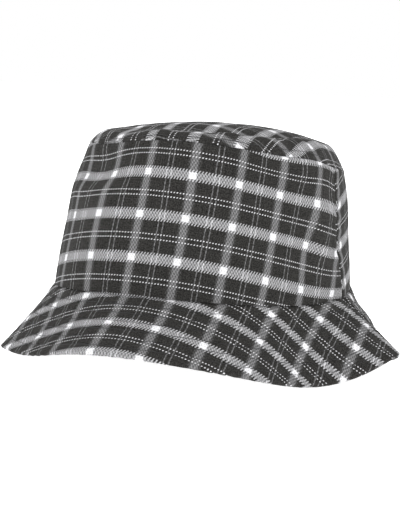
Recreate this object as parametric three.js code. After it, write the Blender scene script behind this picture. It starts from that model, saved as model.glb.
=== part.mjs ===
// A soft bucket hat cut from plaid cotton twill, in millimetres.
//
// +Z is up, the wearer faces -Y, and the wearer's left is +X. The origin is the middle of the
// head opening: the oval where the crown's side meets the brim, at its mean height.
//
// The crown is a tip (the top panel) and two side panels that meet at the wearer's left and
// right. The brim is two half rings of cloth above, two below, and an interlining between them.
// Every cloth layer is a sheet with its turned edges, and a narrow gap parts each layer from the
// next. Needle threads lie on the outer faces, and bobbin threads on the inner ones.

import * as THREE from 'three';
import { mergeVertices } from 'three/addons/utils/BufferGeometryUtils.js';

// ---------------------------------------------------------------- driving dimensions

const BASE_HALF_LENGTH = 100; // the crown's oval at the head opening, outside, along Y
const BASE_HALF_WIDTH = 86; // and along X
const TIP_HALF_LENGTH = 86; // the crown's oval at the tip seam, outside, along Y
const TIP_HALF_WIDTH = 73; // and along X
const CROWN_HEIGHT = 76.5; // from the opening's plane to the tip seam, on average
const CROWN_BULGE = 3; // how far the side swells out at mid height
const OPENING_WAVE = 4; // the opening rises this much at the front and back, and falls at the sides

const TIP_TILT_BACK = 9; // the tip seam is this much higher at the front than on average
const TIP_TILT_LEFT = 3; // and this much lower at the wearer's left
const TIP_WAVE = 3; // and it rises this much at the front and back, as the opening does
const TIP_SHIFT_BACK = 5; // the tip's centre lies behind the opening's centre
const TIP_SHIFT_LEFT = 5; // and to the wearer's left of it
const RIM_WIDTH = 11; // the rounded edge of the tip, measured inwards
const RIM_HEIGHT = 7; // and upwards
const TIP_DOME = 8; // the further rise of the tip to its middle

const BRIM_WIDTH = 47.6; // down the slope, from the join to the folded edge
const BRIM_SLOPE = 54; // degrees below level, on average
const BRIM_SADDLE = 20; // flatter by this many degrees at the front and back
const SEAM_LIFT = 34; // the stiff side seams hold the brim flatter by this many degrees
const SEAM_LIFT_SPREAD = 22; // degrees around the opening over which that fades

const CLOTH = 0.8; // thickness of one layer of twill
const GAP = 0.3; // between neighbouring layers
const EASE = 0.1; // more room than that where one layer bends round another
const INTERLINING = 0.4;
const TAPE = 0.4;
const LABEL = 0.3;
const SWEATBAND = 0.6;
const THREAD = 0.4;

const ALLOWANCE = 9; // width of the turned seam allowances
const RIM_ALLOWANCE_ANGLE = rad(55); // how far the allowances follow the tip's rounded edge
const RIM_BENDS = [rad(30), rad(60)]; // where the rounded edge bends between its facets
const FOLD_ANGLE = rad(12); // how far up that edge the tip's fold closes
const INTERLINING_START = 1.5; // out from the join
const STITCH_ROWS = 6; // rows of stitching round the brim, evenly spaced
const TIP_STITCH_ANGLE = rad(32); // where the topstitching runs on the tip's rounded edge
const SWEATBAND_LOW = 0.5; // the band's lower edge, up from the opening
const SWEATBAND_HEIGHT = 32; // its upper edge
const SWEATBAND_BEND = ALLOWANCE + 1; // where it starts to lean back, just above the allowances
const SWEATBAND_STITCH_UP = 4; // the thread that holds its lower edge
const SEAM_TAPE_WIDTH = 12;
const SEAM_TAPE_LOW = ALLOWANCE + 0.6; // the side tapes' lower ends, up from the opening
const SEAM_TAPE_TOP = 2.4; // their upper ends, down from the tip seam
const SIZE_LABEL = { low: 12, high: 26, from: rad(170), to: rad(190) };
const CARE_LABEL = { low: 34, high: 62, from: rad(70), to: rad(80) };

const STEPS_AROUND = 36; // facets round the whole hat
const SEAM_GAP_ANGLE = rad(0.1); // each panel stops this far short of the side seam

// ---------------------------------------------------------------- depths of the layers

const LAYER = CLOTH + GAP;
const SECOND = LAYER; // outer face of the second layer of cloth
const THIRD = 2 * LAYER; // outer face of the third
const FOURTH = 3 * LAYER; // the first free depth behind three layers
const INTERLINING_DEPTH = CLOTH + GAP;
const UNDER_DEPTH = INTERLINING_DEPTH + INTERLINING + GAP;
const BRIM_THICKNESS = UNDER_DEPTH + CLOTH;
const SEAM_TAPE_INSET = CLOTH + 0.7; // clear of the facets of the wall that it lies on
const SWEATBAND_TOP_INSET = 2.4; // the band leans back towards the wall above the allowances

// ---------------------------------------------------------------- the hat's surfaces
// Each function below names a place on the hat and gives back a function of the angle phi,
// which runs round the hat: 0 at the front, +90 degrees at the wearer's left.

function rad(degrees) {
  return THREE.MathUtils.degToRad(degrees);
}

// How far down the brim each row of stitching runs.
function stitchRows() {
  const spacing = BRIM_WIDTH / (STITCH_ROWS + 1);
  return Array.from({ length: STITCH_ROWS }, (_, i) => (i + 1) * spacing);
}

function openingHeight(phi) {
  return OPENING_WAVE * Math.cos(2 * phi);
}

// The height of the tip seam, and of the plane inside it: share is 1 on the seam, 0 in the middle.
function tipHeight(phi, share = 1) {
  const tilt = TIP_TILT_BACK * Math.cos(phi) - TIP_TILT_LEFT * Math.sin(phi);
  const wave = TIP_WAVE * Math.cos(2 * phi);
  return CROWN_HEIGHT + share * tilt + share * share * wave;
}

function wallHeight(phi) {
  return tipHeight(phi) - openingHeight(phi);
}

function onWallShare(phi, share, inset) {
  const out = 4 * CROWN_BULGE * share * (1 - share) - inset;
  const halfLength = THREE.MathUtils.lerp(BASE_HALF_LENGTH, TIP_HALF_LENGTH, share) + out;
  const halfWidth = THREE.MathUtils.lerp(BASE_HALF_WIDTH, TIP_HALF_WIDTH, share) + out;
  return new THREE.Vector3(
    TIP_SHIFT_LEFT * share + halfWidth * Math.sin(phi),
    TIP_SHIFT_BACK * share - halfLength * Math.cos(phi),
    THREE.MathUtils.lerp(openingHeight(phi), tipHeight(phi), share),
  );
}

// A place on the crown's side: up from the opening, and inset from the outer face.
function onWall(up, inset) {
  return (phi) => onWallShare(phi, up / wallHeight(phi), inset);
}

// The same, measured down from the tip seam.
function belowTipSeam(down, inset) {
  return (phi) => onWallShare(phi, 1 - down / wallHeight(phi), inset);
}

// The same, at a share of the height.
function atShare(share, inset) {
  return (phi) => onWallShare(phi, share, inset);
}

function tipPoint(phi, halfLength, halfWidth, rise) {
  return new THREE.Vector3(
    TIP_SHIFT_LEFT + halfWidth * Math.sin(phi),
    TIP_SHIFT_BACK - halfLength * Math.cos(phi),
    tipHeight(phi, halfWidth / TIP_HALF_WIDTH) + rise,
  );
}

// A place on the tip's rounded edge: turn is 0 at the seam and 90 degrees where the edge ends.
function onRim(turn, depth) {
  const inset = RIM_WIDTH - (RIM_WIDTH - depth) * Math.cos(turn);
  const rise = (RIM_HEIGHT - depth) * Math.sin(turn);
  return (phi) => tipPoint(phi, TIP_HALF_LENGTH - inset, TIP_HALF_WIDTH - inset, rise);
}

// A place on the tip inside its rounded edge: share is 1 at that edge and 0 in the middle.
function onDome(share, depth) {
  const rise = RIM_HEIGHT - depth + TIP_DOME * (1 - share * share);
  const halfLength = share * (TIP_HALF_LENGTH - RIM_WIDTH);
  const halfWidth = share * (TIP_HALF_WIDTH - RIM_WIDTH);
  return (phi) => tipPoint(phi, halfLength, halfWidth, rise);
}

function brimSlope(phi) {
  const fromSeam = THREE.MathUtils.radToDeg(Math.abs(Math.abs(wrapped(phi)) - Math.PI / 2));
  const lift = SEAM_LIFT * Math.exp(-((fromSeam / SEAM_LIFT_SPREAD) ** 2));
  return rad(BRIM_SLOPE - BRIM_SADDLE * Math.cos(2 * phi) - lift);
}

function wrapped(phi) {
  return Math.atan2(Math.sin(phi), Math.cos(phi));
}

// A place on the brim: out from the join down the slope, and depth below the upper face.
function onBrim(out, depth) {
  return (phi) => {
    const slope = brimSlope(phi);
    const outward = new THREE.Vector3(
      Math.sin(phi) / BASE_HALF_WIDTH,
      -Math.cos(phi) / BASE_HALF_LENGTH,
      0,
    ).normalize();
    const along = out * Math.cos(slope) - depth * Math.sin(slope);
    const drop = out * Math.sin(slope) + depth * Math.cos(slope);
    return new THREE.Vector3(
      BASE_HALF_WIDTH * Math.sin(phi),
      -BASE_HALF_LENGTH * Math.cos(phi),
      openingHeight(phi) - drop,
    ).addScaledVector(outward, along);
  };
}

// ---------------------------------------------------------------- solids from profiles

// The facet angles of a full ring, or of a stretch of it with its own exact ends.
function ringAngles() {
  return Array.from({ length: STEPS_AROUND }, (_, i) => (2 * Math.PI * i) / STEPS_AROUND);
}

function arcAngles(from, to) {
  const step = (2 * Math.PI) / STEPS_AROUND;
  const angles = [from];
  for (let k = Math.floor(from / step) + 1; k * step < to - 1e-6; k += 1) {
    angles.push(k * step);
  }
  return [...angles, to];
}

function halfAngles(middle) {
  const reach = Math.PI / 2 - SEAM_GAP_ANGLE;
  return arcAngles(middle - reach, middle + reach);
}

function fromAxis(point) {
  return Math.hypot(point.x, point.y);
}

// Two triangles between sections near and far. Their shared edge always runs from the place
// further from the axis on the near section, so that the facets of parallel layers are parallel.
function sideTriangles(sections, near, far) {
  const count = sections[near].length;
  const triangles = [];
  for (let i = 0; i < count; i += 1) {
    const next = (i + 1) % count;
    const a = near * count + i;
    const b = near * count + next;
    const c = far * count + next;
    const d = far * count + i;
    const outerFirst = fromAxis(sections[near][i]) > fromAxis(sections[near][next]);
    triangles.push(...(outerFirst ? [a, b, c, a, c, d] : [a, b, d, b, c, d]));
  }
  return triangles;
}

// The flat end of an open solid, over the outline of one section.
function capTriangles(section, offset, forward) {
  const outline = section.map((point) => new THREE.Vector2(fromAxis(point), point.z));
  const turn = Math.sign(THREE.ShapeUtils.area(outline));
  return THREE.ShapeUtils.triangulateShape(outline, []).flatMap((corners) => {
    const same = Math.sign(THREE.ShapeUtils.area(corners.map((i) => outline[i]))) === turn;
    const ordered = same === forward ? corners : [...corners].reverse();
    return ordered.map((i) => i + offset);
  });
}

function signedVolume(positions, indices) {
  const corner = (i) => new THREE.Vector3().fromBufferAttribute(positions, indices[i]);
  let volume = 0;
  for (let i = 0; i < indices.length; i += 3) {
    volume += corner(i).dot(corner(i + 1).cross(corner(i + 2)));
  }
  return volume;
}

function withoutSlivers(indices) {
  const kept = [];
  for (let i = 0; i < indices.length; i += 3) {
    const [a, b, c] = indices.slice(i, i + 3);
    if (a !== b && b !== c && c !== a) {
      kept.push(a, b, c);
    }
  }
  return kept;
}

// One closed body: the profile, a list of places, carried round the hat through the angles.
function carried(profile, angles, closed) {
  const sections = angles.map((phi) => profile.map((place) => place(phi)));
  const last = sections.length - 1;
  const triangles = [];
  for (let k = 0; k < last; k += 1) {
    triangles.push(...sideTriangles(sections, k, k + 1));
  }
  if (closed) {
    triangles.push(...sideTriangles(sections, last, 0));
  } else {
    triangles.push(...capTriangles(sections[0], 0, false));
    triangles.push(...capTriangles(sections[last], last * profile.length, true));
  }
  const rough = new THREE.BufferGeometry().setFromPoints(sections.flat());
  rough.setIndex(triangles);
  const geometry = mergeVertices(rough);
  const indices = withoutSlivers([...geometry.index.array]);
  if (signedVolume(geometry.attributes.position, indices) < 0) {
    indices.reverse();
  }
  geometry.setIndex(indices);
  geometry.computeVertexNormals();
  return geometry;
}

// ---------------------------------------------------------------- materials

function finish(color, roughness) {
  return new THREE.MeshStandardMaterial({ color, roughness, metalness: 0 });
}

const plaid = () => finish(0x5c5b58, 0.9);
const plaidInside = () => finish(0x6a6966, 0.92);
const canvas = () => finish(0xd8d5cc, 0.95);
const blackTape = () => finish(0x1d1d1f, 0.8);
const blackThread = () => finish(0x121214, 0.6);
const labelSatin = () => finish(0xe9e8e4, 0.5);

// ---------------------------------------------------------------- the hat

const hat = new THREE.Group();

function add(name, geometry, material) {
  const mesh = new THREE.Mesh(geometry, material);
  mesh.name = name;
  hat.add(mesh);
}

// The top panel. Its edge folds under itself at the seam, and the fold lies inside the rim.
function tipProfile() {
  const shares = [1, 0.75, 0.5, 0.25, 0];
  const [lowBend, highBend] = RIM_BENDS;
  return [
    onRim(0, 0),
    onRim(lowBend, 0),
    onRim(highBend, 0),
    ...shares.map((share) => onDome(share, 0)),
    ...[...shares].reverse().map((share) => onDome(share, CLOTH)),
    onRim(highBend, CLOTH),
    onRim(lowBend, CLOTH),
    onRim(FOLD_ANGLE, CLOTH),
    onRim(FOLD_ANGLE, SECOND),
    onRim(lowBend, SECOND),
    onRim(RIM_ALLOWANCE_ANGLE, SECOND),
    onRim(RIM_ALLOWANCE_ANGLE, SECOND + CLOTH),
    onRim(lowBend, SECOND + CLOTH),
    onRim(0, SECOND + CLOTH),
  ];
}

// Half of the crown's side. Its upper edge steps inwards and runs up inside the folded tip.
function crownSideProfile() {
  const shares = [0.25, 0.5, 0.75];
  const [lowBend] = RIM_BENDS;
  const lowerEdge = GAP + EASE;
  const shoulder = GAP + 2 * EASE;
  return [
    onWall(lowerEdge, 0),
    ...shares.map((share) => atShare(share, 0)),
    belowTipSeam(shoulder, 0),
    belowTipSeam(shoulder, THIRD),
    onRim(lowBend, THIRD),
    onRim(RIM_ALLOWANCE_ANGLE, THIRD),
    onRim(RIM_ALLOWANCE_ANGLE, THIRD + CLOTH),
    onRim(lowBend, THIRD + CLOTH),
    belowTipSeam(shoulder + CLOTH, THIRD + CLOTH),
    belowTipSeam(shoulder + CLOTH, CLOTH),
    ...[...shares].reverse().map((share) => atShare(share, CLOTH)),
    onWall(lowerEdge, CLOTH),
  ];
}

// One face of a brim layer at a depth, with a place at each row of stitching between its ends.
function brimFace(depth, inner, outer) {
  const outs = [inner, ...stitchRows(), outer];
  return outs.map((out) => onBrim(out, depth));
}

// Half of the upper brim. Its outer edge turns down over the layers below, and its inner edge
// turns up inside the crown.
function brimTopProfile() {
  const lip = BRIM_WIDTH - CLOTH;
  return [
    onWall(ALLOWANCE, SECOND),
    onWall(0, SECOND),
    ...brimFace(0, 0, BRIM_WIDTH),
    onBrim(BRIM_WIDTH, BRIM_THICKNESS),
    onBrim(lip, BRIM_THICKNESS),
    ...brimFace(CLOTH, 0, lip).reverse(),
    onWall(-CLOTH, SECOND + CLOTH),
    onWall(ALLOWANCE, SECOND + CLOTH),
  ];
}

// Half of the lower brim. It ends just inside the turned edge of the upper one.
function brimUnderProfile() {
  const edge = BRIM_WIDTH - CLOTH - GAP;
  const crease = CLOTH + GAP + EASE;
  return [
    onWall(ALLOWANCE, THIRD),
    onWall(-crease, THIRD),
    ...brimFace(UNDER_DEPTH, 0, edge),
    ...brimFace(BRIM_THICKNESS, 0, edge).reverse(),
    onWall(-crease - CLOTH, THIRD + CLOTH),
    onWall(ALLOWANCE, THIRD + CLOTH),
  ];
}

function brimInterliningProfile() {
  const outer = BRIM_WIDTH - CLOTH - 2 * GAP;
  return [
    ...brimFace(INTERLINING_DEPTH, INTERLINING_START, outer),
    ...brimFace(INTERLINING_DEPTH + INTERLINING, INTERLINING_START, outer).reverse(),
  ];
}

// The sweatband stands against the seam allowances and leans back to the wall above them.
function sweatbandInset(up) {
  const share = (up - SWEATBAND_BEND) / (SWEATBAND_HEIGHT - SWEATBAND_BEND);
  const lean = THREE.MathUtils.clamp(share, 0, 1);
  return THREE.MathUtils.lerp(FOURTH, SWEATBAND_TOP_INSET, lean);
}

function sweatbandProfile() {
  const heights = [SWEATBAND_LOW, SWEATBAND_BEND, SWEATBAND_HEIGHT];
  return [
    ...heights.map((up) => onWall(up, sweatbandInset(up))),
    ...[...heights].reverse().map((up) => onWall(up, sweatbandInset(up) + SWEATBAND)),
  ];
}

// A thread of three-sided section round the hat, flat towards the cloth. place(shift, depth)
// gives its corners: two at the near depth, beside the cloth, and one at the far depth.
function threadProfile(place, near, far) {
  const half = THREAD / 2;
  return [place(-half, near), place(half, near), place(0, far)];
}

// The tape over the tip seam's allowances.
function tipTapeProfile() {
  const turns = [0, RIM_ALLOWANCE_ANGLE / 2, RIM_ALLOWANCE_ANGLE];
  return [
    ...turns.map((turn) => onRim(turn, FOURTH)),
    ...turns.reverse().map((turn) => onRim(turn, FOURTH + TAPE)),
  ];
}

// The tape over a side seam, from above the brim's allowances to just under the tip's.
function sideTape(middle) {
  const reach = SEAM_TAPE_WIDTH / 2 / BASE_HALF_LENGTH;
  const inner = SEAM_TAPE_INSET + TAPE;
  const profile = [
    onWall(SEAM_TAPE_LOW, SEAM_TAPE_INSET),
    atShare(0.5, SEAM_TAPE_INSET),
    belowTipSeam(SEAM_TAPE_TOP, SEAM_TAPE_INSET),
    belowTipSeam(SEAM_TAPE_TOP, inner),
    atShare(0.5, inner),
    onWall(SEAM_TAPE_LOW, inner),
  ];
  return carried(profile, [middle - reach, middle, middle + reach], false);
}

// A label inside the hat between two heights, at an inset that may change with height.
function label({ low, high, from, to }, inset) {
  const profile = [
    onWall(low, inset(low)),
    onWall(high, inset(high)),
    onWall(high, inset(high) + LABEL),
    onWall(low, inset(low) + LABEL),
  ];
  return carried(profile, arcAngles(from, to), false);
}

function addCrown() {
  add('crown_tip', carried(tipProfile(), ringAngles(), true), plaid());
  add('crown_side_front', carried(crownSideProfile(), halfAngles(0), false), plaid());
  add('crown_side_back', carried(crownSideProfile(), halfAngles(Math.PI), false), plaid());
}

function addBrimHalf(end, middle) {
  const angles = halfAngles(middle);
  add(`brim_top_${end}`, carried(brimTopProfile(), angles, false), plaid());
  add(`brim_under_${end}`, carried(brimUnderProfile(), angles, false), plaidInside());
  add(`brim_interlining_${end}`, carried(brimInterliningProfile(), angles, false), canvas());
}

function addInside() {
  const sweatbandEnd = Math.PI - SEAM_GAP_ANGLE;
  const sweatbandAngles = arcAngles(-sweatbandEnd, sweatbandEnd);
  add('sweatband', carried(sweatbandProfile(), sweatbandAngles, false), blackTape());
  add('tip_seam_tape', carried(tipTapeProfile(), ringAngles(), true), blackTape());
  add('side_seam_tape_left', sideTape(Math.PI / 2), blackTape());
  add('side_seam_tape_right', sideTape(-Math.PI / 2), blackTape());
  const onSweatband = (up) => sweatbandInset(up) + SWEATBAND + GAP;
  add('size_label', label(SIZE_LABEL, onSweatband), labelSatin());
  add('care_label', label(CARE_LABEL, () => SECOND), labelSatin());
}

function addThreads() {
  const addThread = (name, place, near, far) => {
    add(name, carried(threadProfile(place, near, far), ringAngles(), true), blackThread());
  };
  const aboveCloth = -GAP;
  const underBrim = BRIM_THICKNESS + GAP;
  const underTape = FOURTH + TAPE + GAP;
  const onSweatband = FOURTH + SWEATBAND + GAP;
  stitchRows().forEach((out, i) => {
    const onRow = (shift, depth) => onBrim(out + shift, depth);
    addThread(`brim_stitch_${i + 1}`, onRow, aboveCloth, aboveCloth - THREAD);
    addThread(`brim_bobbin_${i + 1}`, onRow, underBrim, underBrim + THREAD);
  });
  const onTip = (shift, depth) => onRim(TIP_STITCH_ANGLE + shift / RIM_WIDTH, depth);
  addThread('tip_stitch', onTip, aboveCloth, aboveCloth - THREAD);
  addThread('tip_bobbin', onTip, underTape, underTape + THREAD);
  const onBand = (shift, depth) => onWall(SWEATBAND_STITCH_UP + shift, depth);
  addThread('sweatband_stitch', onBand, onSweatband, onSweatband + THREAD);
}

addCrown();
addBrimHalf('front', 0);
addBrimHalf('back', Math.PI);
addInside();
addThreads();

export default hat;
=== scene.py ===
# A soft bucket hat in black and white plaid twill, on a pale floor in soft light.
#
# Shapes are worked out in millimetres in the CAD frame: +Z up, the wearer faces -Y, the wearer's
# left is +X, and phi runs round the hat from 0 at the front to +90 degrees at the wearer's left.
# Every CAD node has one finer piece here, built of the same layers at the same depths.

import math

import bpy
import numpy as np
from mathutils import Matrix, Vector


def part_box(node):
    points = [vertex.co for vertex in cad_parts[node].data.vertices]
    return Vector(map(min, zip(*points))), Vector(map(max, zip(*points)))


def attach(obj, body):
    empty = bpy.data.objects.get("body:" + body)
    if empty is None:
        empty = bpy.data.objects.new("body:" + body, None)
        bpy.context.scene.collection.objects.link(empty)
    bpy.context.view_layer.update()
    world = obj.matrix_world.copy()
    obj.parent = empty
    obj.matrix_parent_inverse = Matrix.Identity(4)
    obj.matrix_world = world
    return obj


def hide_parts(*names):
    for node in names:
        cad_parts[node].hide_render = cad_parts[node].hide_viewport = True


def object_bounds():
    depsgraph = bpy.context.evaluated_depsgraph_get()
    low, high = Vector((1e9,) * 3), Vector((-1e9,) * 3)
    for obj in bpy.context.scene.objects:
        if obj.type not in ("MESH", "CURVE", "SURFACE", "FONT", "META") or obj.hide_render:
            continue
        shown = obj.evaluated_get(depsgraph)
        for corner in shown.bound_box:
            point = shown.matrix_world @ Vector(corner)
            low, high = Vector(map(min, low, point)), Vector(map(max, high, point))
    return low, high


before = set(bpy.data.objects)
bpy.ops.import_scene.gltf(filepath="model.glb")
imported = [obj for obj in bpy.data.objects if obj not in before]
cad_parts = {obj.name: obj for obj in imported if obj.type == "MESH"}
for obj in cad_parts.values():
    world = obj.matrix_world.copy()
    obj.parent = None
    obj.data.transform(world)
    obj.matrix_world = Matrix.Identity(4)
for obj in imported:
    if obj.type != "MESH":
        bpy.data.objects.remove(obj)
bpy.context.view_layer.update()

MM = 0.001


def box_mm(node):
    """The low and high corners of a CAD node's box, in millimetres."""
    low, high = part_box(node)
    return np.array(low) / MM, np.array(high) / MM


# ---------------------------------------------------------------- sizes, in millimetres

SIDE_LOW = box_mm("crown_side_front")[0]
TIP_LOW, TIP_HIGH = box_mm("crown_tip")
BASE = (-SIDE_LOW[0], -SIDE_LOW[1])  # half width and half length of the crown at the join
TIP = tuple((TIP_HIGH[:2] - TIP_LOW[:2]) / 2)  # the same at the tip seam
TIP_SHIFT = tuple((TIP_HIGH[:2] + TIP_LOW[:2]) / 2)  # where the tip's centre lies
CROWN_HEIGHT = 76.5  # from the opening to the tip seam, on average
CROWN_BULGE = 3.0
OPENING_WAVE = 4.0
TIP_TILT_BACK = 9.0
TIP_TILT_LEFT = 3.0
TIP_WAVE = 3.0
RIM_WIDTH = 10.0  # the rounded edge of the tip, measured inwards
DOME_POWER = 2.4  # how flat the tip's middle is
TIP_DOME = 17.7  # height of the tip's middle above the plane of its seam
BRIM_WIDTH = 47.1
BRIM_SLOPE = 61  # degrees below level, on average
BRIM_SADDLE = 30  # flatter by this many degrees at the front and back, and steeper at the sides
BRIM_LEAN = 12  # flatter by this many degrees at the wearer's left
LEFT_LIFT = 42  # the stiff side seams hold the brim flatter by this many degrees
RIGHT_LIFT = 54
EDGE_PRESS = 0.32  # how much closer together the layers lie at the pressed outer edge

CLOTH = 0.8
GAP = 0.3
LAYER = CLOTH + GAP
HALF = CLOTH / 2
INTERLINING = 0.4
TAPE = 0.4
LABEL = 0.3
SWEATBAND = 0.6
ALLOWANCE = 9.0
SEAM_TAPE_WIDTH = 12.0
SWEATBAND_LOW = 0.5  # the band's lower edge, up from the join
SWEATBAND_HIGH = 32.0
INTERLINING_DEPTH = LAYER
UNDER_DEPTH = INTERLINING_DEPTH + INTERLINING + GAP
BRIM_THICKNESS = UNDER_DEPTH + CLOTH
ALLOWANCE_TURN = math.radians(55)  # how far the allowances follow the tip's rounded edge

STITCH_ROWS = 6
ROW_SPACING = BRIM_WIDTH / (STITCH_ROWS + 1)
STITCH_LENGTH = 2.6
THREAD_RADIUS = 0.15
SWEATBAND_STITCH_UP = 4.0
TIP_STITCH_TURN = math.radians(36)

LEFT_SEAM = math.radians(93.5)
RIGHT_SEAM = math.radians(-90)
SEAM_GAP = math.radians(0.1)
SEAM_LEAN = math.radians(5.0)  # the left seam bows forward between the join and the tip

# The plaid, as distances on the flat cloth. Warp bands run up the hat, weft bands run round it.
WARP_PITCH = 26.0
WEFT_PITCH = 23.8
TIP_CLOTH_TURN = math.radians(1.1)
BRIM_APEX = 109.0  # the brim opens flat round a point this far inside the join
TWILL_RIB = 1.7  # the weave's diagonal ribs, measured along the weft
PAIR_APART = 1.35  # each of the two thin lines lies this far from the middle between bands

# Where the plaid starts on each panel: across and along, from the middle of its join.
CROWN_PHASES = {"front": (-2.7, 21.3), "back": (6.0, 24.0)}
BRIM_PHASES = {"front": (-2.6, -19.0), "back": (4.0, -9.0)}
TIP_PHASE = (-48.5, -5.4)

# How finely each surface is divided.
ROWS_AROUND_HALF = 340
ROWS_AROUND_TIP = 520
ROWS_AROUND_BAND = 480
ROWS_AROUND_TAPE = 420
BEND_STEPS = 6
ALLOWANCE_STEPS = 10
DOME_STEPS = 52
OUT_COLUMN = slice(40, 41)  # a place on each of the tip's profiles that lies well out from the middle


# ---------------------------------------------------------------- small helpers


def near(phi, centre, spread):
    """1 at an angle in degrees, fading over a spread of degrees to either side."""
    off = (np.degrees(phi) - centre + 180) % 360 - 180
    return np.exp(-((off / spread) ** 2))


def hump(value, centre, spread):
    """1 at the centre, fading over the spread to either side."""
    return np.exp(-(((value - centre) / spread) ** 2))


def eased(value):
    """The value held between 0 and 1, with a soft start and end."""
    value = np.clip(value, 0, 1)
    return value * value * (3 - 2 * value)


def ripple(phi, seed, low, high, count=6):
    """A smooth uneven wave round the hat, about 1 high, of between low and high periods."""
    rng = np.random.default_rng(seed)
    periods = rng.integers(low, high + 1, count)
    shifts = rng.uniform(0, 2 * np.pi, count)
    waves = [np.sin(n * phi + shift) for n, shift in zip(periods, shifts)]
    return sum(waves) / math.sqrt(count)


def seam_distance(phi):
    """Distance round the hat from the nearer side seam, in millimetres."""
    gaps = []
    for seam in (LEFT_SEAM, RIGHT_SEAM):
        off = np.arctan2(np.sin(phi - seam), np.cos(phi - seam))
        gaps.append(np.abs(off) * BASE[1])
    return np.minimum(*gaps)


# ---------------------------------------------------------------- the crown's surfaces


def opening_height(phi):
    return OPENING_WAVE * np.cos(2 * phi)


def tip_height(phi, share=1.0):
    """Height of the tip seam at share 1, and of the plane inside it at less."""
    tilt = TIP_TILT_BACK * np.cos(phi) - TIP_TILT_LEFT * np.sin(phi)
    wave = TIP_WAVE * np.cos(2 * phi) + 2.5 * near(phi, 44, 44) - 3.2 * near(phi, -28, 24)
    wave = wave + 2.4 * near(phi, 74, 15)
    return CROWN_HEIGHT + share * tilt + share * share * wave


def dent(phi, share):
    """The shelf pushed into the soft wall at the wearer's front right."""
    step = eased((share - 0.66) / 0.14)
    back = 1 - 0.6 * eased((share - 0.84) / 0.16)
    return -5.5 * near(phi, -30, 20) * step * back


def wall_relief(phi, share):
    """How far the soft wall stands out from its smooth shape."""
    slack = 0.8 * ripple(phi, 3, 3, 9) * np.sin(np.pi * share)
    full = 2.4 * near(phi, -72, 34) * hump(share, 0.76, 0.22)
    slim = -2.2 * near(phi, 115, 38) * hump(share, 0.42, 0.32)
    gathers = 0.35 * ripple(phi, 5, 25, 60) * hump(share, 1.0, 0.07)
    low_gathers = 0.3 * ripple(phi, 6, 22, 50) * hump(share, 0.0, 0.06)
    beside = seam_distance(phi)
    seam = 0.35 * hump(beside, 4, 3.5) - 0.7 * hump(beside, 0, 0.9)
    drag = 0.45 * np.sin(share * 60 + 2) * hump(beside, 3, 7) * np.sin(np.pi * share)
    return dent(phi, share) + slack + full + slim + gathers + low_gathers + seam + drag


def on_wall(phi, share, inset):
    """A place on the crown's side: share runs from 0 at the join to 1 at the tip seam."""
    phi, share, inset = np.broadcast_arrays(phi, share, inset)
    out = 4 * CROWN_BULGE * share * (1 - share) - inset + wall_relief(phi, share)
    bow = eased(share / 0.45) * eased((1.1 - share) / 0.25)
    phi = phi - SEAM_LEAN * near(phi, 90, 20) * bow
    half_width = BASE[0] + (TIP[0] - BASE[0]) * share + out
    half_length = BASE[1] + (TIP[1] - BASE[1]) * share + out
    x = TIP_SHIFT[0] * share + half_width * np.sin(phi)
    y = TIP_SHIFT[1] * share - half_length * np.cos(phi)
    z = opening_height(phi) * (1 - share) + tip_height(phi) * share
    return np.stack([x, y, z], -1)


def wall_height(phi):
    return tip_height(phi) - opening_height(phi)


def up_wall(phi, up, inset):
    return on_wall(phi, up / wall_height(phi), inset)


def below_tip_seam(phi, down, inset):
    return on_wall(phi, 1 - down / wall_height(phi), inset)


# Where the tip's edge is puckered up: degrees round the hat, and millimetres.
TIP_PUCKERS = (
    (-120, 1),
    (-40, 0.6),
    (-2, 0.9),
    (33, 1.6),
    (52, 1.2),
    (68, 1.8),
    (84, 1.6),
    (150, 1),
)


def rim_height(phi):
    """How far the stiff edge of the tip stands above its seam, with its puckers."""
    peaks = sum(size * near(phi, centre, 6) for centre, size in TIP_PUCKERS)
    return rim_stand(phi) + peaks + 0.3 * ripple(phi, 12, 24, 50)


def rim_stand(phi):
    high = 7.4 * near(phi, 100, 52) + 3.2 * near(phi, -75, 40)
    return 6.0 + high - 1.8 * near(phi, 74, 18)


def crest_slope(phi):
    """How steeply the dome rises where it leaves the crest, as a share of its full slope."""
    return near(phi, -80, 42) + near(phi, 118, 34)


def on_rim(phi, turn, depth):
    """A place on the tip's rounded edge: turn is 0 at the seam and 90 degrees at the crest."""
    phi, turn, depth = np.broadcast_arrays(phi, turn, depth)
    inset = RIM_WIDTH - (RIM_WIDTH - depth) * np.cos(turn)
    lean = 1.6 + 0.95 * near(phi, 108, 40) + 0.4 * near(phi, -72, 40)
    steady = crest_slope(phi) * DOME_POWER * (TIP_DOME - rim_stand(phi)) / (TIP[0] - RIM_WIDTH)
    bend = rim_height(phi) - depth - steady * RIM_WIDTH
    rise = bend * np.sin(turn) ** lean + steady * RIM_WIDTH * (1 - np.cos(turn))
    inset = inset - wall_relief(phi, 1.0) * np.cos(turn)
    x = TIP_SHIFT[0] + (TIP[0] - inset) * np.sin(phi)
    y = TIP_SHIFT[1] - (TIP[1] - inset) * np.cos(phi)
    return np.stack([x, y, tip_height(phi, 1 - inset / TIP[0]) + rise], -1)


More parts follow.
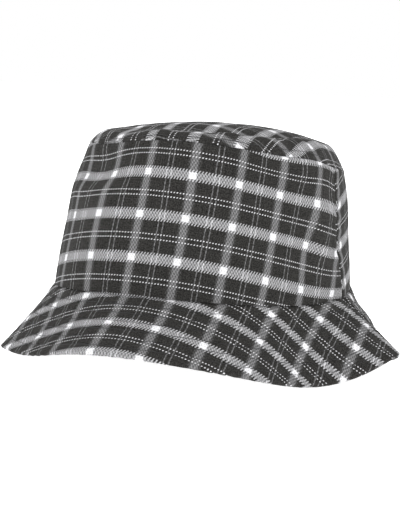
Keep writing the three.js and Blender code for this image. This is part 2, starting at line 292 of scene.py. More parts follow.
def on_dome(phi, share, depth):
    """A place on the tip inside its crest: share is 1 at the crest and 0 in the middle."""
    phi, share, depth = np.broadcast_arrays(phi, share, depth)
    crest = on_rim(phi, np.pi / 2, depth)
    plane = tip_height(phi, share * (1 - RIM_WIDTH / TIP[0]))
    stand = rim_height(phi)
    smooth_stand = rim_stand(phi)
    peaks = (stand - smooth_stand) * share**10
    rise = smooth_stand + peaks + (TIP_DOME - smooth_stand) * (1 - share**DOME_POWER)
    hollow = 0.9 + 1.7 * near(phi, 40, 42)
    valley = -hollow * hump(share, 0.86, 0.08) * (1 - hump(share, 1.0, 0.04)) * (1 - crest_slope(phi))
    soft = 0.8 * ripple(phi, 15, 2, 5) * share**2 * (1 - share)
    soft = soft + 3.8 * np.sin(phi) * share * (1 - share**2)
    x = TIP_SHIFT[0] + share * (crest[..., 0] - TIP_SHIFT[0])
    y = TIP_SHIFT[1] + share * (crest[..., 1] - TIP_SHIFT[1])
    return np.stack([x, y, plane + rise - depth + valley + soft], -1)


# ---------------------------------------------------------------- the brim's surface


# Where the brim's edge ripples: degrees round the hat, and how many degrees steeper it hangs.
BRIM_SAGS = ((-68, 7), (-46, -9), (-2, -3))


def brim_slope(phi):
    """How steeply the brim falls away, which changes round the hat."""
    sway = -BRIM_SADDLE * np.cos(2 * phi) + 3 * np.cos(3 * phi)
    lean = -BRIM_LEAN * np.sin(phi)
    left_lift = -LEFT_LIFT * near(phi, 89, 19)
    right_lift = -RIGHT_LIFT * near(phi, -90, 38)
    sagging = sum(size * near(phi, centre, 16) for centre, size in BRIM_SAGS)
    return np.radians(BRIM_SLOPE + sway + lean + left_lift + right_lift + sagging)


def brim_relief(phi, out):
    """How far the brim's layers stand up from their smooth shape."""
    row = np.abs((out / ROW_SPACING + 0.5) % 1 - 0.5) * ROW_SPACING
    stitched = (out > 0.4 * ROW_SPACING) & (out < BRIM_WIDTH - 0.4 * ROW_SPACING)
    groove = np.where(stitched, 0.15 - 0.35 * hump(row, 0, 0.9), 0.15)
    pull = 0.16 * ripple(phi, 21, 90, 150, 8) * hump(row, 0, 2.2)
    beside = seam_distance(phi)
    seam = 0.45 * hump(beside, 4.5, 4) - 0.7 * hump(beside, 0, 0.9)
    slack = 0.9 * ripple(phi, 23, 4, 11) * eased(out / BRIM_WIDTH) ** 2
    gathers = 0.3 * ripple(phi, 24, 30, 60) * hump(out, 2, 6)
    fade = eased(out / 1.5)
    return fade * (groove + pull + seam) + slack + gathers * fade


def on_brim(phi, out, depth):
    """A place on the brim: out from the join down the slope, and depth below the top face."""
    phi, out, depth = np.broadcast_arrays(phi, out, depth)
    slope = brim_slope(phi)
    outward = np.stack([np.sin(phi) / BASE[0], -np.cos(phi) / BASE[1]], -1)
    outward = outward / np.linalg.norm(outward, axis=-1, keepdims=True)
    pressed = 1 - EDGE_PRESS * eased((out - BRIM_WIDTH + 12) / 12)
    lift = brim_relief(phi, out) - HALF - (depth - HALF) * pressed
    reach = out * np.cos(slope) + lift * np.sin(slope)
    x = BASE[0] * np.sin(phi) + outward[..., 0] * reach
    y = -BASE[1] * np.cos(phi) + outward[..., 1] * reach
    z = opening_height(phi) - out * np.sin(slope) + lift * np.cos(slope)
    return np.stack([x, y, z], -1)


# ---------------------------------------------------------------- lengths on the flat cloth


def base_arc(phi):
    """Distance round the join from the front, in millimetres."""
    angles = np.linspace(-2 * np.pi, 2 * np.pi, 2881)
    oval = np.stack([BASE[0] * np.sin(angles), -BASE[1] * np.cos(angles)], -1)
    steps = np.linalg.norm(np.diff(oval, axis=0), axis=1)
    lengths = np.concatenate([[0], np.cumsum(steps)])
    lengths -= np.interp(0, angles, lengths)
    return np.interp(phi, angles, lengths)


def run_lengths(places, start):
    """Distance along each profile, 0 at the column called start."""
    steps = np.linalg.norm(np.diff(places, axis=1), axis=-1)
    lengths = np.concatenate([np.zeros((len(places), 1)), np.cumsum(steps, axis=1)], axis=1)
    return lengths - lengths[:, [start]]


# Where the sewing has pushed a crown panel's cloth round the hat, or up it. Each is degrees from
# the panel's middle, millimetres above the join, the reach of both, and the push in millimetres.
EASED_ROUND = {
    "front": (
        (85, 45, 16, 28, -10),  # forward along the bowed left seam
        (70, 30, 10, 20, 5),  # back again in the fold beside it
        (75, 75, 16, 10, -5),  # in the pucker above that fold
        (-50, 85, 16, 28, 7),  # round the dent at the wearer's right
        (10, 85, 16, 28, 3),  # along the tip seam at the front
    ),
    "back": ((-85, 40, 20, 40, 3), (20, 60, 18, 20, 2.5), (80, 45, 18, 30, -4)),
}
EASED_UP = {
    "front": (
        (85, 75, 16, 28, -4.5),  # down beside the top of the left seam
        (-55, 55, 16, 28, -4),  # down into the dent
        (60, 5, 28, 16, 1.5),  # up from the join
        (50, 85, 10, 10, 2),  # up into the tip seam
    ),
    "back": ((-50, 50, 20, 25, 2), (30, 60, 15, 20, -2), (85, 60, 20, 28, 3)),
}


def eased_in(phi, up, pushes):
    """The sum of a list of pushes at a place on a panel."""
    total = 0.0
    for centre, height, reach, rise, push in pushes:
        total = total + push * near(phi, centre, reach) * hump(up, height, rise)
    return total


def crown_cloth(end, middle, phase):
    """Flat cloth places of a crown side panel, whose profile runs down to the join.

    The panel is cut as a curved strip and eased in, so the weft hangs lower at its ends, and
    the warp leans a little off the upright."""

    def flat(phi, places, join):
        up = -run_lengths(places, join)
        arc = base_arc(phi - middle)
        away = arc / 100
        height = up / 80
        eased_away = np.maximum(away, -0.6)
        lean = 12 * eased_away**2 - 10 * eased_away**3 - 2 * eased_away
        across = arc + lean - height * (4 + 10 * eased_away)
        along = up + 12.5 * away**2 - 2 * away**4
        across = across + eased_in(phi - middle, up, EASED_ROUND[end])
        along = along + eased_in(phi - middle, up, EASED_UP[end])
        return np.stack([across - phase[0], along - phase[1]], -1)

    return flat


# The same for the brim, with millimetres out from the join.
BRIM_EASED_ROUND = {
    "front": (
        (-30, 33, 16, 24, -6),  # where the edge turns up at the wearer's right
        (66, 48, 10, 12, -4),  # at the edge below the left front
        (90, 12, 16, 24, 2),  # beside the left seam
    ),
    "back": ((-60, 25, 20, 30, 3), (45, 35, 18, 30, -2.5)),
}
BRIM_EASED_OUT = {
    "front": (
        (-30, 40, 26, 50, 6),  # where the edge turns up
        (60, 0, 16, 60, 5),  # from the join at the left front
        (24, 48, 16, 24, 3),  # at the edge in front
        (100, 12, 28, 12, -3),  # beside the left seam
    ),
    "back": ((-45, 30, 20, 30, -2), (60, 25, 18, 30, 2)),
}


def brim_cloth(end, middle, phase):
    """Flat cloth places of half a brim ring, whose profile runs out from the join."""

    def flat(phi, places, join):
        out = run_lengths(places, join)
        angle = base_arc(phi - middle) / BRIM_APEX
        radius = BRIM_APEX + out
        across = radius * np.sin(angle) - phase[0]
        along = BRIM_APEX - radius * np.cos(angle) - phase[1]
        across = across + eased_in(phi - middle, out, BRIM_EASED_ROUND[end])
        along = along + eased_in(phi - middle, out, BRIM_EASED_OUT[end])
        return np.stack([across, along], -1)

    return flat


def tip_cloth(turn, phase):
    """Flat cloth places of the tip, whose profile runs out from its middle."""

    def flat(phi, places, join):
        out = run_lengths(places, join)
        away = places[:, OUT_COLUMN, :2] - np.array(TIP_SHIFT)
        away = away / np.linalg.norm(away, axis=-1, keepdims=True)
        x = away[..., 0] * out
        y = away[..., 1] * out
        across = y * math.cos(turn) - x * math.sin(turn)
        along = x * math.cos(turn) + y * math.sin(turn)
        return np.stack([across - phase[0], along - phase[1]], -1)

    return flat


def tape_cloth(phi, places, join):
    """Lengths round and across a band."""
    around = np.broadcast_to(base_arc(phi), places.shape[:2])
    return np.stack([around, run_lengths(places, join)], -1)


# ---------------------------------------------------------------- meshes


def spread(ends, count):
    return np.linspace(ends[0], ends[1], count)


def bent(before, corner, after):
    """A smooth bend from one place to the next, pulled towards the corner between them."""
    t = np.linspace(0, 1, BEND_STEPS + 2)[1:-1, None]
    return (1 - t) ** 2 * before + 2 * t * (1 - t) * corner + t**2 * after


def normals(places, closed):
    """Unit normals of a grid of places, on the side the first axis turns round the hat."""
    if closed:
        ringed = np.concatenate([places[-2:-1], places, places[1:2]])
        around = ringed[2:] - ringed[:-2]
    else:
        around = np.gradient(places, axis=0)
    along = np.gradient(places, axis=1)
    out = np.cross(along, around)
    return out / np.maximum(np.linalg.norm(out, axis=-1, keepdims=True), 1e-9)


def cell_corners(rows, columns):
    """The four corners of each cell of a grid of places."""
    row, column = np.meshgrid(np.arange(rows - 1), np.arange(columns - 1), indexing="ij")
    corners = [(row, column), (row, column + 1), (row + 1, column + 1), (row + 1, column)]
    return np.stack([r * columns + c for r, c in corners], -1).reshape(-1, 4)


def edge_cells(line, offset, flip):
    """The narrow faces that join the two faces of a sheet along one edge."""
    cells = np.stack([line[:-1], line[1:], line[1:] + offset, line[:-1] + offset], -1)
    return cells[:, ::-1] if flip else cells


def sheet_faces(rows, columns, closed, pole):
    """The faces of both sides of a sheet and of its open edges."""
    grid = np.arange(rows * columns).reshape(rows, columns)
    offset = rows * columns
    top = cell_corners(rows, columns)
    faces = [top, top[:, ::-1] + offset, edge_cells(grid[:, -1], offset, False)]
    if not pole:
        faces.append(edge_cells(grid[:, 0], offset, True))
    if not closed:
        faces.append(edge_cells(grid[0], offset, False))
        faces.append(edge_cells(grid[-1], offset, True))
    return np.concatenate(faces)


def pole_faces(rows, columns, offset):
    """Triangles that fill the middle of a round sheet, with a place added for each face."""
    ring = np.arange(rows) * columns
    top = np.stack([np.full(rows - 1, 2 * offset), ring[:-1], ring[1:]], -1)
    low = np.stack([np.full(rows - 1, 2 * offset + 1), ring[1:] + offset, ring[:-1] + offset], -1)
    return np.concatenate([top, low])


def joined_ends(index, rows, columns):
    """The last row of a closed ring is its first row again."""
    side, place = np.divmod(index, rows * columns)
    row, column = np.divmod(place, columns)
    return side * (rows - 1) * columns + (row % (rows - 1)) * columns + column


def write_mesh(name, points, loops, starts, flat):
    """An object from its places, the corners of its faces and their flat cloth places."""
    mesh = bpy.data.meshes.new(name)
    mesh.vertices.add(len(points))
    mesh.vertices.foreach_set("co", (points * MM).astype(np.float32).ravel())
    mesh.loops.add(len(loops))
    mesh.loops.foreach_set("vertex_index", loops.astype(np.int32))
    mesh.polygons.add(len(starts))
    mesh.polygons.foreach_set("loop_start", starts.astype(np.int32))
    layer = mesh.uv_layers.new(name="cloth")
    layer.uv.foreach_set("vector", (flat * MM).astype(np.float32).ravel())
    mesh.update(calc_edges=True)
    mesh.polygons.foreach_set("use_smooth", np.ones(len(starts), bool))
    mesh.set_sharp_from_angle(angle=math.radians(50))
    thing = bpy.data.objects.new(name, mesh)
    bpy.context.scene.collection.objects.link(thing)
    return thing


def face_corners(rows, columns, closed, pole):
    """The corners of every face in one list, and how many each face has."""
    faces = sheet_faces(rows, columns, closed, pole)
    corners = [faces.ravel()]
    sizes = [np.full(len(faces), 4)]
    if pole:
        fans = pole_faces(rows, columns, rows * columns)
        corners.append(fans.ravel())
        sizes.append(np.full(len(fans), 3))
    return np.concatenate(corners), np.concatenate(sizes)


def sheet(name, middle, flat, thickness, closed=False, pole=False):
    """A sheet of even thickness about a grid of places, with its flat cloth places."""
    rows, columns = middle.shape[:2]
    out = normals(middle, closed) * thickness / 2
    top = middle + out
    low = middle - out
    index, sizes = face_corners(rows, columns, closed, pole)
    starts = np.concatenate([[0], np.cumsum(sizes)[:-1]])
    kept = slice(0, rows - 1) if closed else slice(0, rows)
    points = [top[kept].reshape(-1, 3), low[kept].reshape(-1, 3)]
    flats = [flat.reshape(-1, 2), flat.reshape(-1, 2)]
    if pole:
        points += [top[:, 0].mean(0, keepdims=True), low[:, 0].mean(0, keepdims=True)]
        flats += [flat[:1, 0], flat[:1, 0]]
    vertex = index
    if closed:
        total = 2 * rows * columns
        ring = joined_ends(np.minimum(index, total - 1), rows, columns)
        vertex = np.where(index >= total, index - 2 * columns, ring)
    return write_mesh(name, np.concatenate(points), vertex, starts, np.concatenate(flats)[index])


def dress(thing, node, material):
    """Gives a finer piece its finish, and lets it stand for its CAD node."""
    thing.data.materials.append(material)
    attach(thing, "root")
    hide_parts(node)
    return thing


# ---------------------------------------------------------------- profiles of the layers
# Each profile is a list of columns of places, for a column of angles. It runs from the top or
# the middle of the hat down and outwards, along the middle of its layer.

STEP_DOWN = 0.6  # how far below the tip seam the crown's side steps in under the tip


def as_column(phi):
    """Angles down a column, to be met by a row of places along a profile."""
    return phi[:, None]


def crown_side_profile(phi):
    p = as_column(phi)
    inner = 2 * LAYER + HALF
    allowance = on_rim(p, spread((ALLOWANCE_TURN, math.radians(14)), 12), inner)
    corner = below_tip_seam(p, STEP_DOWN, inner)
    step = below_tip_seam(p, STEP_DOWN, spread((inner - 0.7, HALF + 0.7), 3))
    shoulder = below_tip_seam(p, STEP_DOWN, HALF)
    wall = below_tip_seam(p, STEP_DOWN + 0.5, HALF)
    turn_in = bent(allowance[:, -1:], corner, step[:, :1])
    turn_down = bent(step[:, -1:], shoulder, wall)
    share = np.linspace(1, 0, 104)
    top = 1 - (STEP_DOWN + 0.5) / wall_height(p)
    low = (GAP + 0.1) / wall_height(p)
    body = on_wall(p, low + (top - low) * share, HALF)
    return np.concatenate([allowance, turn_in, step, turn_down, body], axis=1)


def tip_profile(phi):
    p = as_column(phi)
    dome = on_dome(p, 1 - np.linspace(1, 0, DOME_STEPS)[:-1] ** 1.3, HALF)
    dome = np.concatenate([on_dome(p, 0.004, HALF), dome[:, 1:]], axis=1)
    rim = on_rim(p, spread((math.pi / 2, math.radians(9)), 22), HALF)
    fold = math.radians(9)
    around = np.linspace(0, np.pi, 9)[1:-1]
    reach = LAYER / 2
    curl_turn = fold - np.sin(around) * reach / RIM_WIDTH
    curl = on_rim(p, curl_turn, HALF + reach - reach * np.cos(around))
    allowance = on_rim(p, spread((fold, ALLOWANCE_TURN), 8), HALF + LAYER)
    return np.concatenate([dome, rim, curl, allowance], axis=1)


def brim_allowance(p, inset):
    return up_wall(p, spread((ALLOWANCE, 1.0), ALLOWANCE_STEPS), inset)


def brim_top_profile(phi):
    p = as_column(phi)
    allowance = brim_allowance(p, LAYER + HALF)
    face = on_brim(p, spread((1.2, BRIM_WIDTH - HALF - 1.0), 112), HALF)
    corner = up_wall(p, -HALF, LAYER + HALF)
    turn_out = bent(allowance[:, -1:], corner, face[:, :1])
    lip = on_brim(p, BRIM_WIDTH - HALF, spread((HALF + 0.9, BRIM_THICKNESS), 4))
    edge = on_brim(p, BRIM_WIDTH - HALF, HALF)
    turn_over = bent(face[:, -1:], edge, lip[:, :1])
    return np.concatenate([allowance, turn_out, face, turn_over, lip], axis=1)


def brim_under_profile(phi):
    p = as_column(phi)
    allowance = brim_allowance(p, 2 * LAYER + HALF)
    face = on_brim(p, spread((1.4, BRIM_WIDTH - LAYER), 80), UNDER_DEPTH + HALF)
    corner = up_wall(p, -LAYER - 0.5, 2 * LAYER + HALF)
    turn_out = bent(allowance[:, -1:], corner, face[:, :1])
    return np.concatenate([allowance, turn_out, face], axis=1)


def brim_interlining_profile(phi):
    p = as_column(phi)
    outer = BRIM_WIDTH - CLOTH - 2 * GAP
    return on_brim(p, spread((1.5, outer), 50), INTERLINING_DEPTH + INTERLINING / 2)


def sweatband_inset(up):
    lean = np.clip((up - ALLOWANCE - 1) / (SWEATBAND_HIGH - ALLOWANCE - 1), 0, 1)
    return 3 * LAYER + (2.4 - 3 * LAYER) * lean + SWEATBAND / 2


def sweatband_profile(phi):
    p = as_column(phi)
    up = spread((SWEATBAND_HIGH, SWEATBAND_LOW), 40)
    return up_wall(p, up, sweatband_inset(up))


def tip_tape_profile(phi):
    return on_rim(as_column(phi), spread((ALLOWANCE_TURN, 0), 16), 3 * LAYER + TAPE / 2)


def side_tape_profile(phi):
    p = as_column(phi)
    low = (ALLOWANCE + 0.6) / wall_height(p)
    high = 1 - 2.4 / wall_height(p)
    return on_wall(p, high + (low - high) * np.linspace(0, 1, 60), CLOTH + 0.7 + TAPE / 2)


def label_profile(low, high, inset):
    def profile(phi):
        up = spread((high, low), 20)
        return up_wall(as_column(phi), up, inset(up))

    return profile


# ---------------------------------------------------------------- threads


def ring_angles(count):
    return np.linspace(-np.pi, np.pi, count + 1)


def thread(name, place, sign, material, count=1500):
    """A row of stitches round the hat. place(phi, depth) is on the row; sign is +1 when the
    thread lies on the face that looks down."""
    phi = ring_angles(count)
    near_face = place(phi, 0.0)
    steps = np.linalg.norm(np.diff(near_face, axis=0), axis=1)
    run = np.concatenate([[0], np.cumsum(steps)])
    stitches = round(run[-1] / STITCH_LENGTH)
    wave = np.abs(np.sin(np.pi * stitches * run / run[-1])) ** 0.35
    centre = place(phi, sign * (0.42 * wave - 0.26))
    inward = place(phi, 1.0) - near_face
    inward = inward / np.linalg.norm(inward, axis=-1, keepdims=True)
    tangent = np.gradient(near_face, axis=0)
    beside = np.cross(inward, tangent)
    beside = beside / np.linalg.norm(beside, axis=-1, keepdims=True)
    around = np.linspace(0, 2 * np.pi, 8)[None, :, None]
    tube = centre[:, None] + THREAD_RADIUS * (
        np.cos(around) * inward[:, None] + np.sin(around) * beside[:, None]
    )
    return tube_mesh(name, tube, run, material)


def tube_mesh(name, tube, run, material):
    """A closed ring of round section. Both ends of each grid axis are the same place."""
    rows, columns = tube.shape[:2]
    index = cell_corners(rows, columns)
    row, column = np.divmod(index, columns)
    vertex = (row % (rows - 1)) * (columns - 1) + column % (columns - 1)
    flat = np.stack([run[row], column * (2 * np.pi * THREAD_RADIUS / (columns - 1))], -1)
    points = tube[:-1, :-1].reshape(-1, 3)
    starts = np.arange(len(index)) * 4
    thing = write_mesh(name + "_fine", points, vertex.ravel(), starts, flat.reshape(-1, 2))
    return dress(thing, name, material)


# ---------------------------------------------------------------- materials


class Graph:
    """A material's nodes, wired up as formulas of numbers and sockets."""

    def __init__(self, name):
        self.material = bpy.data.materials.new(name)
        self.material.use_nodes = True
        self.nodes = self.material.node_tree.nodes
        self.links = self.material.node_tree.links
        self.shader = self.nodes["Principled BSDF"]

    def feed(self, socket, value):
        if isinstance(value, bpy.types.NodeSocket):
            self.links.new(value, socket)
        else:
            socket.default_value = value

    def math(self, operation, *values):
        node = self.nodes.new("ShaderNodeMath")
        node.operation = operation
        for socket, value in zip(node.inputs, values):
            self.feed(socket, value)
        return node.outputs[0]

    def add(self, a, b):
        return self.math("ADD", a, b)

    def sub(self, a, b):
        return self.math("SUBTRACT", a, b)

    def mul(self, a, b):
        return self.math("MULTIPLY", a, b)

    def either(self, a, b):
        """Coverage of two layers, each from 0 to 1."""
        return self.sub(1.0, self.mul(self.sub(1.0, a), self.sub(1.0, b)))

    def step(self, value, start, end, low=0.0, high=1.0):
        node = self.nodes.new("ShaderNodeMapRange")
        node.interpolation_type = "SMOOTHSTEP"
        for socket, item in zip(node.inputs, (value, start, end, low, high)):
            self.feed(socket, item)
        return node.outputs[0]

    def within(self, distance, half, soft):
        """1 where a distance is less than half a width, with a soft edge."""
        return self.step(distance, half - soft, half + soft, 1.0, 0.0)

    def cloth_place(self):
        """Distances across and along the flat cloth, in millimetres."""
        layer = self.nodes.new("ShaderNodeUVMap")
        layer.uv_map = "cloth"
        scale = self.nodes.new("ShaderNodeVectorMath")
        scale.operation = "SCALE"
        scale.inputs["Scale"].default_value = 1 / MM
        self.links.new(layer.outputs[0], scale.inputs[0])
        return scale.outputs[0]

    def split(self, vector):
        node = self.nodes.new("ShaderNodeSeparateXYZ")
        self.links.new(vector, node.inputs[0])
        return node.outputs[0], node.outputs[1]

    def noise(self, vector, size, detail=2.0):
        """Noise from 0 to 1 with features of a size in millimetres."""
        node = self.nodes.new("ShaderNodeTexNoise")
        self.links.new(vector, node.inputs["Vector"])
        node.inputs["Scale"].default_value = 1 / size
        node.inputs["Detail"].default_value = detail
        return node.outputs[0]

    def stretched(self, vector, across, along):
        node = self.nodes.new("ShaderNodeVectorMath")
        node.operation = "MULTIPLY"
        self.links.new(vector, node.inputs[0])
        node.inputs[1].default_value = (across, along, 1.0)
        return node.outputs[0]

    def mix(self, share, low, high):
        node = self.nodes.new("ShaderNodeMix")
        node.data_type = "RGBA"
        self.feed(node.inputs[0], share)
        self.feed(node.inputs[6], low)
        self.feed(node.inputs[7], high)
        return node.outputs[2]

    def bump(self, height, depth, strength=1.0):
        """Bump whose height of 1 stands for a depth in millimetres."""
        node = self.nodes.new("ShaderNodeBump")
        node.inputs["Strength"].default_value = strength
        node.inputs["Distance"].default_value = depth * MM
        self.links.new(height, node.inputs["Height"])
        self.links.new(node.outputs[0], self.shader.inputs["Normal"])

    def finish(self, color, roughness, sheen=0.0, specular=0.3):
        self.feed(self.shader.inputs["Base Color"], color)
        self.feed(self.shader.inputs["Roughness"], roughness)
        self.shader.inputs["Sheen Weight"].default_value = sheen
        self.shader.inputs["Sheen Roughness"].default_value = 0.5
        self.shader.inputs["Specular IOR Level"].default_value = specular
        return self.material


def band_distances(g, place, pitch):
    """Distance from the nearest band, and from the nearer line of the pair between bands."""
    band = g.math("ABSOLUTE", g.math("WRAP", place, pitch / 2, -pitch / 2))
    pair = g.sub(pitch / 2, band)
    return band, g.math("ABSOLUTE", g.sub(pair, PAIR_APART))


def twill_wave(g, across, along, period, fill=0.5):
    """1 on a share of each diagonal rib and 0 on the rest, with soft edges."""
    phase = g.math("FRACT", g.math("DIVIDE", g.sub(across, g.mul(along, 0.5)), period))
    peak = g.math("ABSOLUTE", g.sub(phase, 0.5))
    return g.step(peak, fill / 2 - 0.08, fill / 2 + 0.08, 1.0, 0.0)


def white_cover(g, across, along):
    """How much white yarn shows, from 0 to 1, over the whole plaid.

    Each band has a core with a ticked flank to either side, and two thin lines run midway
    between the bands. The white is fullest where two bands cross."""
    rib = twill_wave(g, across, along, TWILL_RIB)
    counter = twill_wave(g, across, g.mul(along, -1.6), TWILL_RIB)
    hatch = g.mul(g.add(rib, counter), 0.5)
    tick = twill_wave(g, across, along, TWILL_RIB, 0.4)
    weft, weft_pair = band_distances(g, along, WEFT_PITCH)
    warp, warp_pair = band_distances(g, across, WARP_PITCH)
    weft_core = g.within(weft, 1.9, 0.25)
    weft_flank = g.sub(g.within(weft, 3.2, 0.25), weft_core)
    weft_line = g.within(weft_pair, 0.3, 0.12)
    warp_core = g.within(warp, 2.0, 0.6)
    warp_flank = g.sub(g.within(warp, 3.2, 0.5), warp_core)
    warp_line = g.within(warp_pair, 0.3, 0.12)
    weft_cover = g.mul(weft_core, g.add(0.1, g.mul(hatch, 0.32)))
    weft_cover = g.add(weft_cover, g.mul(weft_flank, g.mul(tick, 0.46)))
    weft_cover = g.add(weft_cover, g.mul(weft_line, g.mul(tick, 0.72)))
    warp_cover = g.mul(warp_core, g.add(0.06, g.mul(hatch, 0.16)))
    warp_cover = g.add(warp_cover, g.mul(warp_flank, g.mul(hatch, 0.05)))
    warp_cover = g.add(warp_cover, g.mul(warp_line, g.add(0.05, g.mul(hatch, 0.12))))
    crossed = g.mul(warp_core, g.add(0.66, g.mul(hatch, 0.12)))
    crossing = g.mul(weft_core, g.add(crossed, g.mul(warp_line, 0.3)))
    return g.either(g.either(weft_cover, warp_cover), crossing)


DARKEST_YARN = (0.0066, 0.0064, 0.006, 1)
DARK_YARN = (0.041, 0.0398, 0.0375, 1)
WHITE_YARN = (0.86, 0.86, 0.885, 1)


def plaid():
    """Brushed cotton twill, yarn-dyed in charcoal and white."""
    g = Graph("plaid twill")
    place = g.cloth_place()
    across, along = g.split(place)
    wander = g.sub(g.noise(place, 30.0, 1.0), 0.5)
    across = g.add(across, g.mul(wander, 0.9))
    fray = g.sub(g.noise(place, 0.8, 1.0), 0.5)
    along = g.add(along, g.mul(fray, 0.25))
    cover = white_cover(g, across, along)
    warp_slub = g.noise(g.stretched(place, 2.4, 0.12), 1.0)
    weft_slub = g.noise(g.stretched(place, 0.12, 2.4), 1.0)
    uneven = g.add(warp_slub, weft_slub)
    fleck = g.noise(place, 0.75, 1.0)
    cover = g.mul(cover, g.step(fleck, 0.3, 0.7, 0.72, 1.2))
    shade = g.add(g.mul(uneven, 0.5), fleck)
    dark = g.mix(g.step(shade, 0.7, 1.3), DARKEST_YARN, DARK_YARN)
    color = g.mix(g.math("MINIMUM", cover, 1.0), dark, WHITE_YARN)
    ribs = twill_wave(g, across, along, 0.75)
    fuzz = g.noise(place, 0.35, 2.0)
    height = g.add(g.mul(ribs, 0.5), g.add(g.mul(fuzz, 0.35), g.mul(uneven, 0.4)))
    g.bump(height, 0.14, 0.7)
    return g.finish(color, g.step(fuzz, 0.2, 0.8, 0.82, 0.95), sheen=0.02, specular=0.08)


def ribbed_tape(name, color, rib, depth):
    """A woven tape with fine ribs across it."""
    g = Graph(name)
    place = g.cloth_place()
    across, along = g.split(place)
    ribs = g.math("SINE", g.mul(g.add(across, g.mul(along, 0.5)), 2 * math.pi / rib))
    slub = g.noise(g.stretched(place, 0.2, 1.6), 1.0)
    shade = g.add(g.mul(ribs, 0.2), slub)
    dark = tuple(c * 0.7 for c in color) + (1,)
    light = tuple(c * 1.35 for c in color) + (1,)
    g.bump(g.add(g.mul(ribs, 0.5), g.mul(slub, 0.5)), depth)
    return g.finish(g.mix(g.step(shade, 0.2, 0.8), dark, light), 0.78, sheen=0.1)


def canvas():
    """Plain-woven stiffening cloth."""
    g = Graph("interlining canvas")
    place = g.cloth_place()
    across, along = g.split(place)
    warp = g.math("SINE", g.mul(across, 2 * math.pi / 0.7))
    weft = g.math("SINE", g.mul(along, 2 * math.pi / 0.7))
    weave = g.mul(warp, weft)
    fleck = g.noise(place, 1.2)
    shade = g.step(g.add(g.mul(weave, 0.3), fleck), 0.2, 0.8)
    color = g.mix(shade, (0.6, 0.58, 0.52, 1), (0.78, 0.76, 0.7, 1))
    g.bump(weave, 0.1)
    return g.finish(color, 0.92)


def satin():
    """A blank woven label."""
    g = Graph("label satin")
    place = g.cloth_place()
    along = g.split(place)[1]
    float_yarns = g.noise(g.stretched(place, 0.3, 4.0), 1.0)
    ribs = g.math("SINE", g.mul(along, 2 * math.pi / 0.4))
    color = g.mix(float_yarns, (0.62, 0.61, 0.59, 1), (0.82, 0.81, 0.78, 1))
    g.bump(g.add(g.mul(ribs, 0.4), float_yarns), 0.05)
    return g.finish(color, 0.42, sheen=0.2, specular=0.5)


def sewing_thread():
    """Black polyester thread of two twisted plies."""
    g = Graph("black thread")
    place = g.cloth_place()
    across, along = g.split(place)
    twist = g.math("SINE", g.mul(g.add(across, along), 2 * math.pi / 0.6))
    fuzz = g.noise(place, 0.3)
    shade = g.step(g.add(twist, fuzz), -0.6, 1.4)
    color = g.mix(shade, (0.008, 0.008, 0.009, 1), (0.03, 0.03, 0.032, 1))
    g.bump(twist, 0.06)
    return g.finish(color, 0.55, specular=0.4)


FLOOR_GLOW = 0.95  # keeps the floor as pale as the background


def studio_floor():
    g = Graph("studio floor")
    shade = g.nodes.new("ShaderNodeRGB")
    shade.outputs[0].default_value = (0.93, 0.93, 0.93, 1)
    g.shader.inputs["Emission Color"].default_value = (1, 1, 1, 1)
    g.shader.inputs["Emission Strength"].default_value = FLOOR_GLOW
    return g.finish(shade.outputs[0], 0.9, specular=0.0)


# ---------------------------------------------------------------- the pieces


def half_angles(front):
    """The angles of a front or back half, which stops just short of both side seams."""
    low, high = (RIGHT_SEAM, LEFT_SEAM) if front else (LEFT_SEAM, RIGHT_SEAM + 2 * np.pi)
    return np.linspace(low + SEAM_GAP, high - SEAM_GAP, ROWS_AROUND_HALF)


def half_piece(node, profile, flat, join, front, material, thickness=CLOTH):
    """A panel of half the way round. Its profile has the join at the column called join."""
    phi = half_angles(front)
    places = profile(phi)
    thing = sheet(node + "_fine", places, flat(as_column(phi), places, join), thickness)
    return dress(thing, node, material)


HALVES = (("front", 0.0), ("back", np.pi))  # each half, and the angle of its middle


def add_crown(twill):
    for end, middle in HALVES:
        flat = crown_cloth(end, middle, CROWN_PHASES[end])
        front = end == "front"
        half_piece("crown_side_" + end, crown_side_profile, flat, -1, front, twill)
    phi = ring_angles(ROWS_AROUND_TIP)
    places = tip_profile(phi)
    flat = tip_cloth(TIP_CLOTH_TURN, TIP_PHASE)(as_column(phi), places, 0)
    tip = sheet("crown_tip_fine", places, flat, CLOTH, closed=True, pole=True)
    dress(tip, "crown_tip", twill)


def add_brim(twill, interlining):
    join = ALLOWANCE_STEPS + BEND_STEPS
    for end, middle in HALVES:
        front = end == "front"
        flat = brim_cloth(end, middle, BRIM_PHASES[end])
        half_piece("brim_top_" + end, brim_top_profile, flat, join, front, twill)
        half_piece("brim_under_" + end, brim_under_profile, flat, join, front, twill)
        half_piece(
            "brim_interlining_" + end,
            brim_interlining_profile,
            tape_cloth,
            0,
            front,
            interlining,
            INTERLINING,
        )


def band_piece(node, angles, profile, material, thickness, closed=False):
    """A tape, a label or the sweatband."""
    places = profile(angles)
    flat = tape_cloth(as_column(angles), places, 0)
    thing = sheet(node + "_fine", places, flat, thickness, closed=closed)
    return dress(thing, node, material)


def add_bands(band_tape, seam_tape):
    around = np.linspace(-np.pi + SEAM_GAP, np.pi - SEAM_GAP, ROWS_AROUND_BAND)
    band_piece("sweatband", around, sweatband_profile, band_tape, SWEATBAND)
    ring = ring_angles(ROWS_AROUND_TAPE)
    band_piece("tip_seam_tape", ring, tip_tape_profile, seam_tape, TAPE, True)
    reach = SEAM_TAPE_WIDTH / 2 / BASE[1]
    for side, seam in (("left", LEFT_SEAM), ("right", RIGHT_SEAM)):
        angles = np.linspace(seam - reach, seam + reach, 24)
        band_piece("side_seam_tape_" + side, angles, side_tape_profile, seam_tape, TAPE)


def over_sweatband(up):
    return sweatband_inset(up) + SWEATBAND / 2 + GAP + LABEL / 2


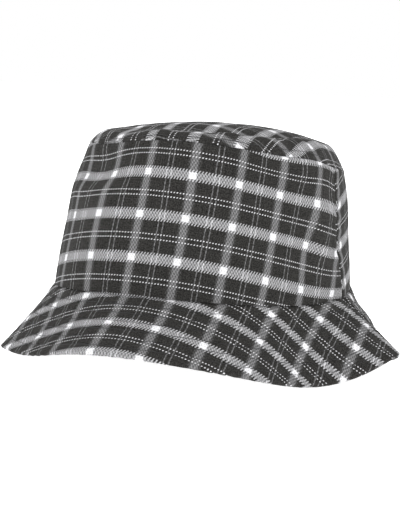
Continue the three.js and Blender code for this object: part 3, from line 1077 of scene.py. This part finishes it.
def inside_wall(up):
    return LAYER + LABEL / 2


def add_labels(satin_label):
    behind = np.radians(np.linspace(170, 190, 40))
    low_label = label_profile(12, 26, over_sweatband)
    band_piece("size_label", behind, low_label, satin_label, LABEL)
    beside = np.radians(np.linspace(70, 80, 30))
    high_label = label_profile(34, 62, inside_wall)
    band_piece("care_label", beside, high_label, satin_label, LABEL)


def brim_row(out, start):
    """A row of stitching down the brim, with depth measured from a layer's face."""
    return lambda phi, depth: on_brim(phi, out, start + depth)


def tip_row(start):
    return lambda phi, depth: on_rim(phi, TIP_STITCH_TURN, start + depth)


def sweatband_row(start):
    return lambda phi, depth: up_wall(phi, SWEATBAND_STITCH_UP, start + depth)


def add_threads(black):
    for i in range(STITCH_ROWS):
        out = (i + 1) * ROW_SPACING
        thread(f"brim_stitch_{i + 1}", brim_row(out, 0), -1, black)
        thread(f"brim_bobbin_{i + 1}", brim_row(out, BRIM_THICKNESS), 1, black)
    thread("tip_stitch", tip_row(0), -1, black, 1100)
    thread("tip_bobbin", tip_row(3 * LAYER + TAPE), 1, black, 1100)
    thread("sweatband_stitch", sweatband_row(3 * LAYER + SWEATBAND), 1, black, 1100)


# ---------------------------------------------------------------- camera, light and floor


CAMERA_AZIMUTH = math.radians(24)  # round to the wearer's left
CAMERA_ELEVATION = math.radians(6.5)
CAMERA_ROLL = math.radians(1.5)
CAMERA_DISTANCE = 0.95
CAMERA_AIM = Vector((0, 0, 40 * MM))
CAMERA_SHIFT = (-0.0117, -0.0844)  # the hat stands a little above the middle of the picture


def camera_direction():
    """From the hat towards the camera."""
    level = math.cos(CAMERA_ELEVATION)
    x = math.sin(CAMERA_AZIMUTH) * level
    y = -math.cos(CAMERA_AZIMUTH) * level
    return Vector((x, y, math.sin(CAMERA_ELEVATION)))


def add_camera():
    away = camera_direction()
    data = bpy.data.cameras.new("camera")
    camera = bpy.data.objects.new("camera", data)
    bpy.context.scene.collection.objects.link(camera)
    roll = Matrix.Rotation(CAMERA_ROLL, 3, "Z")
    turn = (-away).to_track_quat("-Z", "Y").to_matrix() @ roll
    camera.matrix_world = Matrix.Translation(CAMERA_AIM + away * CAMERA_DISTANCE) @ turn.to_4x4()
    data.sensor_width = 36
    data.lens = 111.2
    data.shift_x = CAMERA_SHIFT[0]
    data.shift_y = CAMERA_SHIFT[1]
    data.clip_start = 0.01
    data.clip_end = 50
    bpy.context.scene.camera = camera


def add_lamp(name, place, size, power):
    data = bpy.data.lights.new(name, "AREA")
    data.shape = "DISK"
    data.size = size
    data.energy = power
    lamp = bpy.data.objects.new(name, data)
    bpy.context.scene.collection.objects.link(lamp)
    place = Vector(place)
    lamp.location = place
    lamp.rotation_mode = "QUATERNION"
    lamp.rotation_quaternion = (Vector((0, 0, 0.05)) - place).to_track_quat("-Z", "Y")


def add_light():
    world = bpy.data.worlds.new("studio")
    bpy.context.scene.world = world
    world.use_nodes = True
    background = world.node_tree.nodes["Background"]
    background.inputs["Color"].default_value = (1, 1, 1, 1)
    background.inputs["Strength"].default_value = 1.0
    add_lamp("key", (-0.8, -1.5, 1.6), 1.4, 6)
    add_lamp("fill", (1.6, -1.2, 0.9), 1.4, 2.5)
    add_lamp("top", (0.1, -0.2, 1.7), 1.2, 11)
    bpy.context.scene.view_settings.view_transform = "Standard"


def add_floor():
    """A wide floor that the lowest point of the brim rests on."""
    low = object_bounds()[0].z
    mesh = bpy.data.meshes.new("floor")
    half = 4.0
    corners = [(-half, -half, low), (half, -half, low), (half, half, low), (-half, half, low)]
    mesh.from_pydata(corners, [], [(0, 1, 2, 3)])
    floor = bpy.data.objects.new("floor", mesh)
    bpy.context.scene.collection.objects.link(floor)
    mesh.materials.append(studio_floor())


def build():
    twill = plaid()
    add_crown(twill)
    add_brim(twill, canvas())
    band_tape = ribbed_tape("sweatband twill", (0.018, 0.018, 0.02), 0.9, 0.12)
    seam_tape = ribbed_tape("seam tape", (0.014, 0.014, 0.015), 0.6, 0.08)
    add_bands(band_tape, seam_tape)
    add_labels(satin())
    add_threads(sewing_thread())
    add_floor()
    add_light()
    add_camera()


build()
